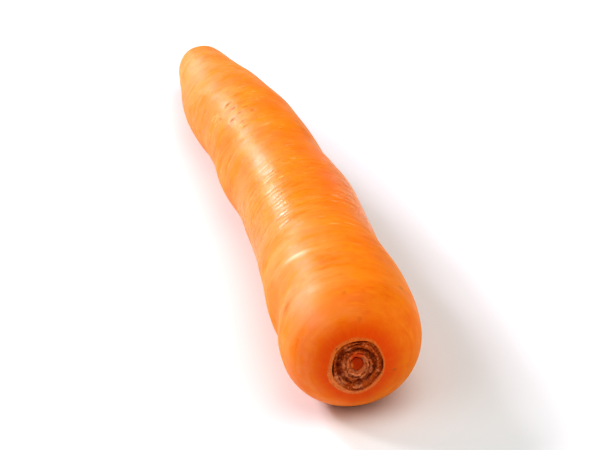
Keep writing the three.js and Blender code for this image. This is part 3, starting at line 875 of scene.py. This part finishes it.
bent = start.node("GeometryNodeSetPosition", {}, {
    "Geometry": loose, "Offset": centred.scaled(size["Bend"] * MM)})
start.node("GeometryNodeSetShadeSmooth", {}, {"Geometry": bent}).end_in(dry_stalk)

# They are made round the X axis and then set into the crown.
side, up, forward = section_axes(np.array([recess_floor]))
foot = (axis_at(np.array([recess_floor]))[0] + origin
        + side[0] * SCAR_MIDDLE[0] + up[0] * SCAR_MIDDLE[1]) * MM
into_crown = Matrix.Translation(foot) @ Matrix((forward[0], side[0], up[0])).transposed().to_4x4()
merged = bmesh.new()
runs = [(walls_tree, {**stalk_sizes, **clump}) for clump in clumps] + [(start.tree, fibre_sizes)]
for tree, sizes in runs:
    walls = bpy.data.objects.new("walls", bpy.data.meshes.new("walls"))
    bpy.context.scene.collection.objects.link(walls)
    run_tree(walls, tree, sizes)
    walls.data.transform(into_crown)
    merged.from_mesh(walls.data)
    bpy.data.objects.remove(walls)
bmesh.ops.recalc_face_normals(merged, faces=merged.faces)
bases = bpy.data.meshes.new("dried_stalk_bases")
merged.to_mesh(bases)
merged.free()

# Dark hollows between the leaf bases, most of them in a ring: the walls sink there and are painted
# near-black.
HOLLOWS = [                             # around, radius, reach around (mm), reach across, depth
    (92, 4.5, 1.5, 0.55, 0.7), (32, 4.25, 0.8, 0.5, 1), (-10, 3.9, 0.6, 0.5, 1),
    (-58, 4.3, 0.7, 0.45, 0.8), (-86, 4.15, 0.9, 0.5, 1), (-127, 4.4, 0.8, 0.5, 0.8),
    (-158, 4.4, 1.1, 0.7, 1), (176, 4.6, 1.0, 0.7, 1), (62, 4.1, 0.9, 0.5, 0.7),
    # The last two on this line, by the collar, are painted shade in the gap there.
    (148, 4.8, 1.7, 0.75, 0.8), (-8, 5.9, 1.8, 0.45, 0.45), (-32, 5.9, 1.0, 0.4, 0.55),
]
HOLLOW_DEPTH = 0.6
HOLLOW_FULL_AT = 1.5                    # full this far above the recess's floor, none on the pad
BUD = (91, 2.4, 1.7, 1.3)               # a fresher orange place over the heart
SCRAPS = [                              # paler scraps of fresher tissue: around, radius, reach
    (116, 4.8, 0.6), (173, 3.1, 0.7), (218, 3.4, 0.7), (245, 2.9, 0.8), (276, 3, 0.9),
    (27, 2, 0.6), (-39, 2.95, 0.7), (-15, 3.3, 0.5), (-21, 5.1, 0.5), (-62, 4.1, 0.6),
    (227, 5.6, 0.9), (208, 5.6, 0.8), (271, 5.5, 0.8),
]
spots = np.empty(3 * len(bases.vertices), np.float32)
bases.vertices.foreach_get("co", spots)
spots = spots.reshape(-1, 3)
from_middle = (spots - np.array(foot)) / MM
sideways, upwards, risen = (from_middle @ way[0] for way in (side, up, forward))
radius, turned = np.hypot(sideways, upwards), np.degrees(np.arctan2(upwards, sideways))


def scar_spot(turn, place, reach, width):
    """A soft spot in the scar: around, radius, and reach around and across in millimetres."""
    return bell(np.radians(turn_between(turn, turned)) * place, reach) * bell(radius - place, width)


hollow = np.zeros(len(spots))
for *spot, depth in HOLLOWS:
    hollow = np.maximum(hollow, depth * scar_spot(*spot))
sunk = hollow * HOLLOW_DEPTH * rise_between(GAP + PAD_THICKNESS, HOLLOW_FULL_AT, risen)
bases.vertices.foreach_set("co", (spots - np.outer(sunk * MM, forward[0])).ravel())
keep_values(bases, "hollow", hollow)
keep_values(bases, "bud", scar_spot(*BUD))
scraps = sum(scar_spot(turn, place, reach, reach) for turn, place, reach in SCRAPS)
keep_values(bases, "scrap", scraps)
bases.materials.append(dry_stalk)
keep_within(bases, *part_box("leaf_stalk_stubs"))
stubs = bpy.data.objects.new("dried_stalk_bases", bases)
bpy.context.scene.collection.objects.link(stubs)

# Dry tissue: pinkish tan by the heart, olive brown further out, and near-black in the hollows.
STALK_INNER = (0.77, 0.250, 0.082)
STALK_OUTER = (0.47, 0.098, 0.010)
STALK_TORN = (0.86, 0.400, 0.210)
STALK_BUD = (0.82, 0.150, 0.024)
STALK_BLACK = (0.150, 0.008, 0.001)
flow = Flow(dry_stalk.node_tree)
axis = Vector(forward[0])
here = flow.node("ShaderNodeTexCoord", {}, {}, "Object")
from_foot = flow.node("ShaderNodeVectorMath", {"operation": "SUBTRACT"}, {0: here, 1: Vector(foot)})
risen = flow.node("ShaderNodeVectorMath", {"operation": "DOT_PRODUCT"},
                  {0: from_foot, 1: axis}, "Value") * (1 / MM)
along_axis = flow.node("ShaderNodeVectorMath", {"operation": "SCALE"},
                       {0: axis, "Scale": risen * MM})
flat = flow.node("ShaderNodeVectorMath", {"operation": "SUBTRACT"}, {0: from_foot, 1: along_axis})
from_heart = flow.node("ShaderNodeVectorMath", {"operation": "LENGTH"},
                       {0: flat}, "Value") * (1 / MM)
in_mm = here.scaled(1 / MM)
blotch = flow.noise(in_mm, 0.9, 3.0)
fleck = flow.noise(in_mm, 1.7, 4.0, 0.65)
ring = from_heart + (blotch - 0.5) * 2.4
color = flow.mix(ring.rise(2.2, 4.0), STALK_INNER, STALK_OUTER)
color = flow.mix(fleck.rise(0.52, 0.66) * 0.55, color, STALK_TORN)
color = flow.mix(flow.own("frayed") * 0.5, color, STALK_TORN)
color = flow.mix(flow.own("scrap") * 0.5, color, STALK_TORN)
color = flow.mix(fleck.rise(0.46, 0.36) * 0.6, color, STALK_BLACK)
color = flow.mix(flow.own("bud").rise(0.2, 0.7) * 0.9, color, STALK_BUD)
# Painted shade: darker low down in the gaps between the walls, inside the sheath's radius.
color = flow.mix(risen.rise(0.9, 0.4) * ring.rise(5.8, 5.2) * 0.5, color, STALK_BLACK)
# Near-black in the hollows; the two by the collar are painted shade.
color = flow.mix(flow.own("hollow") * 0.95, color, STALK_BLACK)
bump = flow.node("ShaderNodeBump", {}, {"Distance": 0.001, "Height": fleck * 0.3})
shader = flow.node("ShaderNodeBsdfPrincipled", {}, {
    "Base Color": color,
    "Roughness": 0.75 + 0.2 * fleck,
    "Normal": bump,
    "IOR": 1.4,
    "Specular IOR Level": 0.15,
})
flow.node("ShaderNodeOutputMaterial", {}, {"Surface": shader})
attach(stubs, "root")
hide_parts("leaf_stalk_stubs")


# ---------------------------------------------------------------- the light and the floor
# Not part of the carrot: a strong narrow lamp beyond its tip and to the left gives the long
# highlight, a small one beside it and a wide one on either side fill in, and the widest hangs
# overhead. The carrot lies on a wide, nearly white table.
WORLD_LIGHT = 0.24
TABLE_RADIUS = 4
TABLE_SIDES = 96
TABLE_WHITE = (0.79, 0.8, 0.79, 1)
TABLE_ROUGHNESS = 0.9

bpy.context.scene.view_settings.view_transform = "Standard"
bpy.context.scene.view_settings.look = "High Contrast"
world = bpy.data.worlds.new("studio")
world.use_nodes = True
world.node_tree.nodes["Background"].inputs["Color"].default_value = (1, 1, 1, 1)
world.node_tree.nodes["Background"].inputs["Strength"].default_value = WORLD_LIGHT
bpy.context.scene.world = world


def soft_lamp(name, place, width, height, power, color=(1, 1, 1)):
    """A soft rectangular lamp that points at the carrot: sizes in metres, power in watts."""
    lamp = bpy.data.objects.new(name, bpy.data.lights.new(name, "AREA"))
    lamp.data.shape = "RECTANGLE"
    lamp.data.size = width
    lamp.data.size_y = height
    lamp.data.energy = power
    lamp.data.color = color
    lamp.location = place
    lamp.rotation_euler = Vector(place).to_track_quat("Z", "Y").to_euler()
    bpy.context.scene.collection.objects.link(lamp)


soft_lamp("key_lamp", (-1.15, -0.57, 0.57), 0.17, 0.45, 11.8, (1, 0.92, 1.1))
soft_lamp("front_lamp", (-0.58, -0.93, 0.77), 0.2, 0.2, 4.3, (1, 0.97, 1))
soft_lamp("side_lamp", (0.3, -1.05, 0.75), 0.9, 0.9, 3)
soft_lamp("right_lamp", (0.35, 1.15, 0.45), 0.6, 0.6, 2.4)
soft_lamp("top_lamp", (0.4, 0.35, 1.4), 1.4, 1.4, 9.5)

disc = bmesh.new()
bmesh.ops.create_circle(disc, cap_ends=True, segments=TABLE_SIDES, radius=TABLE_RADIUS)
table = bpy.data.meshes.new("table")
disc.to_mesh(table)
disc.free()
floor = bpy.data.objects.new("table", table)
bpy.context.scene.collection.objects.link(floor)
white = bpy.data.materials.new("table_white")
white.use_nodes = True
table_shader = white.node_tree.nodes["Principled BSDF"]
table_shader.inputs["Base Color"].default_value = TABLE_WHITE
table_shader.inputs["Roughness"].default_value = TABLE_ROUGHNESS
table.materials.append(white)
